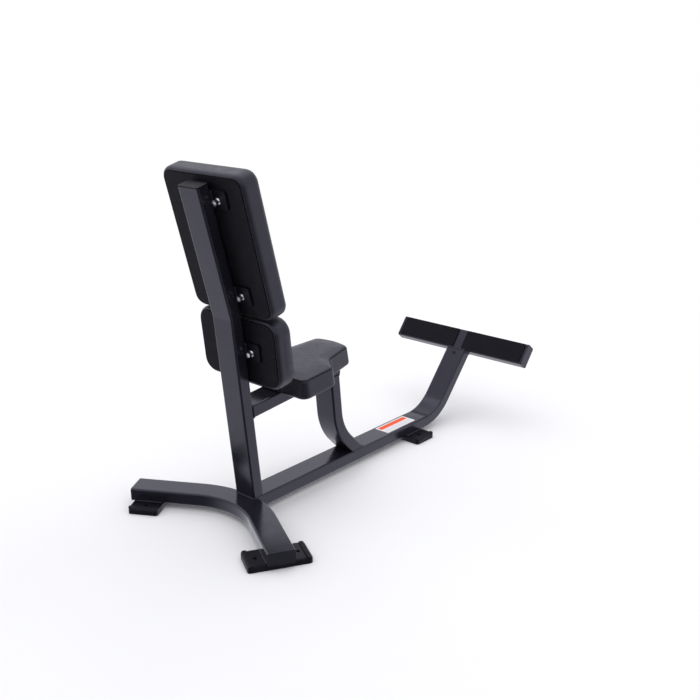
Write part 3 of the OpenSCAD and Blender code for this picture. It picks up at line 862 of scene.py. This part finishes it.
def frame_welds():
    """Welds round the ends of the upright, the seat post, the seat rail and the stem."""
    foot_d = TUBE_H / math.cos(math.radians(LEAN_LOWER))
    post_d = TUBE_H / math.cos(math.radians(POST_LEAN + POST_TURN))
    jobs = [tube_weld(PART, foot_d, lambda u, v: (u, foot_d / 2 + v, BASE_TOP), (0, 0, 1)),
            tube_weld(PART, post_d, lambda u, v: (u, POST_FOOT_Y + v, BASE_TOP), (0, 0, 1))]
    slope = math.radians(RAIL_ANGLE)
    ahead = (0, math.cos(slope), math.sin(slope))
    below = (0, TUBE_H * math.sin(slope), RAIL_Z - TUBE_H * math.cos(slope))
    over = meet(LOWER, (0, 0, RAIL_Z), ahead, 1, TUBE_H)
    under = meet(LOWER, below, ahead, 1, TUBE_H)
    rail_mid = (over.z + under.z) / 2
    jobs.append(tube_weld(LOWER, over.z - under.z, lambda u, v: (u, TUBE_H, rail_mid + v), (0, 1, 0)))
    tilt = math.radians(POST_LEAN)
    upward = Vector((0, -math.sin(tilt), math.cos(tilt)))
    across = Vector((0, math.cos(tilt), math.sin(tilt)))
    rear = Vector((0, POST_BACK_Y, POST_BEND_Z))
    back = meet(RAIL, rear, upward, 2, -TUBE_H)
    fore = meet(RAIL, rear + across * TUBE_H, upward, 2, -TUBE_H)
    post_mid = (fore.y + back.y) / 2
    jobs.append(tube_weld(RAIL, fore.y - back.y, lambda u, v: (u, post_mid + v, -TUBE_H), (0, 0, 1)))
    stem_mid = BAR_SINK - TUBE_H / 2
    jobs.append(tube_weld(BAR, TUBE_H, lambda u, v: (u, 0, v + stem_mid), (0, 1, 0)))
    return jobs


def bracket_welds():
    jobs = []
    for matrix, levels in ((UPPER, UPPER_BOLTS), (LUMBAR, LUMBAR_BOLTS)):
        for level in levels:
            z = level + BRACKET_RISE
            for x in (-TUBE_W / 2, TUBE_W / 2):
                line = [(x, TUBE_H, z + t) for t in (-BRACKET_BEAD, 0, BRACKET_BEAD)]
                jobs.append(line_weld(matrix, line, (1, 0, 0)))
    return jobs


def foot_welds():
    """Welds along both sides of the tubes where they stand on the foot plates."""
    z, reach = FOOT_PLATE_TOP + BEAD_UP, TUBE_W / 2 - BEAD_IN
    angle = math.radians(ARM_ANGLE)
    out = Vector((math.cos(angle), -math.sin(angle), 0))
    across = Vector((math.sin(angle), math.cos(angle), 0))
    arm_end = Vector((0, BASE_CY, z)) + across * BASE_BEND_R + out * ARM_LEN
    middle = arm_end - out * ARM_TO_PLATE
    jobs = []
    for sx in (-1, 1):
        mirror = Matrix.Diagonal((sx, 1, 1, 1))
        for s in (-reach, reach):
            line = [mirror @ (middle + across * s + out * t) for t in (-FOOT_BEAD, 0, FOOT_BEAD)]
            jobs.append(line_weld(PART, line, (0, 0, 1)))
        line = [(sx * reach, FRONT_PLATE_Y + t, z) for t in (-FOOT_BEAD, 0, FOOT_BEAD)]
        jobs.append(line_weld(PART, line, (0, 0, 1)))
    return jobs


def weld_beads():
    trim("weld_beads", FRAME_PAINT, frame_welds() + bracket_welds() + foot_welds())


joint_lines()
weld_beads()

# ---------- stage, light and camera ----------

SKY, LOW_LIGHT, LOW_DARK = 1.05, 1.0, 0.12
FLOOR_HALF, FADE_FROM, FADE_TO, BACKDROP_R = 12.0, 1.3, 2.6, 11.0
CAMERA_PLACE = (1.9641, -1.7866 - MID_Y * MM, 1.3913)
CAMERA_DOWN, CAMERA_TURN = 18.34, 40.88


def plain_mesh(name, verts, faces, mat):
    mesh = bpy.data.meshes.new(name)
    mesh.from_pydata(verts, [], faces)
    mesh.materials.append(mat)
    obj = bpy.data.objects.new(name, mesh)
    bpy.context.scene.collection.objects.link(obj)
    return obj


def floor():
    """Pale floor that fades into the white backdrop away from the bench."""
    s = Shader("floor", (0.87, 0.87, 0.84), 0.8, specular=0.05)
    s.drift((0.88, 0.88, 0.85), 0.8)
    fade = s.node("ShaderNodeVectorMath", operation="LENGTH")
    s.link(s.coord, fade.inputs[0])
    fac = s.remap(fade.outputs["Value"], FADE_FROM, FADE_TO, 0, 1, True)
    glow = s.node("ShaderNodeEmission", Strength=1.0)
    mix = s.node("ShaderNodeMixShader")
    s.link(fac, mix.inputs[0])
    s.link(s.bsdf.outputs[0], mix.inputs[1])
    s.link(glow.outputs[0], mix.inputs[2])
    s.link(mix.outputs[0], s.tree.nodes["Material Output"].inputs["Surface"])
    size = FLOOR_HALF
    verts = [(-size, -size, 0), (size, -size, 0), (size, size, 0), (-size, size, 0)]
    obj = plain_mesh("floor", verts, [(0, 1, 2, 3)], s.mat)
    obj.visible_glossy = False


def backdrop():
    """White surround that only the camera sees. It lights nothing and isn't reflected."""
    mat = bpy.data.materials.new("backdrop")
    mat.use_nodes = True
    tree = mat.node_tree
    glow = tree.nodes.new("ShaderNodeEmission")
    tree.links.new(glow.outputs[0], tree.nodes["Material Output"].inputs["Surface"])
    bm = bmesh.new()
    bmesh.ops.create_icosphere(bm, subdivisions=4, radius=BACKDROP_R)
    mesh = bpy.data.meshes.new("backdrop")
    bm.to_mesh(mesh)
    bm.free()
    mesh.materials.append(mat)
    obj = bpy.data.objects.new("backdrop", mesh)
    bpy.context.scene.collection.objects.link(obj)
    obj.visible_diffuse = obj.visible_glossy = obj.visible_transmission = False
    obj.visible_shadow = obj.visible_volume_scatter = False


def world():
    """White light from above. Low down the surround is white, and dark towards +X and -Y."""
    w = bpy.data.worlds.new("studio")
    bpy.context.scene.world = w
    w.use_nodes = True
    tree = w.node_tree
    coord = tree.nodes.new("ShaderNodeTexCoord").outputs["Generated"]

    def along(axis, lo, hi, a, b):
        dot = tree.nodes.new("ShaderNodeVectorMath")
        dot.operation = "DOT_PRODUCT"
        dot.inputs[1].default_value = axis
        tree.links.new(coord, dot.inputs[0])
        m = tree.nodes.new("ShaderNodeMapRange")
        m.interpolation_type = "SMOOTHSTEP"
        for key, number in (("From Min", lo), ("From Max", hi), ("To Min", a), ("To Max", b)):
            m.inputs[key].default_value = number
        tree.links.new(dot.outputs["Value"], m.inputs["Value"])
        return m.outputs["Result"]

    low = along((-0.65, 0.76, 0), -0.75, -0.1, LOW_DARK, LOW_LIGHT)
    up = along((0, 0, 1), -0.02, 0.3, 0, 1)
    mix = tree.nodes.new("ShaderNodeMix")
    mix.inputs["B"].default_value = SKY
    tree.links.new(low, mix.inputs["A"])
    tree.links.new(up, mix.inputs["Factor"])
    bg = tree.nodes["Background"]
    bg.inputs["Color"].default_value = (1.0, 1.0, 1.08, 1)
    tree.links.new(mix.outputs["Result"], bg.inputs["Strength"])


def area(name, place, target, size, power):
    data = bpy.data.lights.new(name, "AREA")
    data.shape = "RECTANGLE"
    data.size, data.size_y = size
    data.energy = power
    obj = bpy.data.objects.new(name, data)
    bpy.context.scene.collection.objects.link(obj)
    obj.location = place
    aim = Vector(target) - Vector(place)
    obj.rotation_euler = aim.to_track_quat("-Z", "Y").to_euler()


def camera():
    data = bpy.data.cameras.new("camera")
    data.lens = 50
    data.sensor_width = 36
    obj = bpy.data.objects.new("camera", data)
    bpy.context.scene.collection.objects.link(obj)
    obj.location = CAMERA_PLACE
    obj.rotation_euler = (math.radians(90 - CAMERA_DOWN), 0, math.radians(CAMERA_TURN))
    bpy.context.scene.camera = obj


bpy.context.scene.view_settings.view_transform = "Standard"
floor()
backdrop()
world()
area("overhead", (-0.6, 0.4, 3.6), (0, 0.1, 0.2), (3.0, 3.0), 25)
camera()
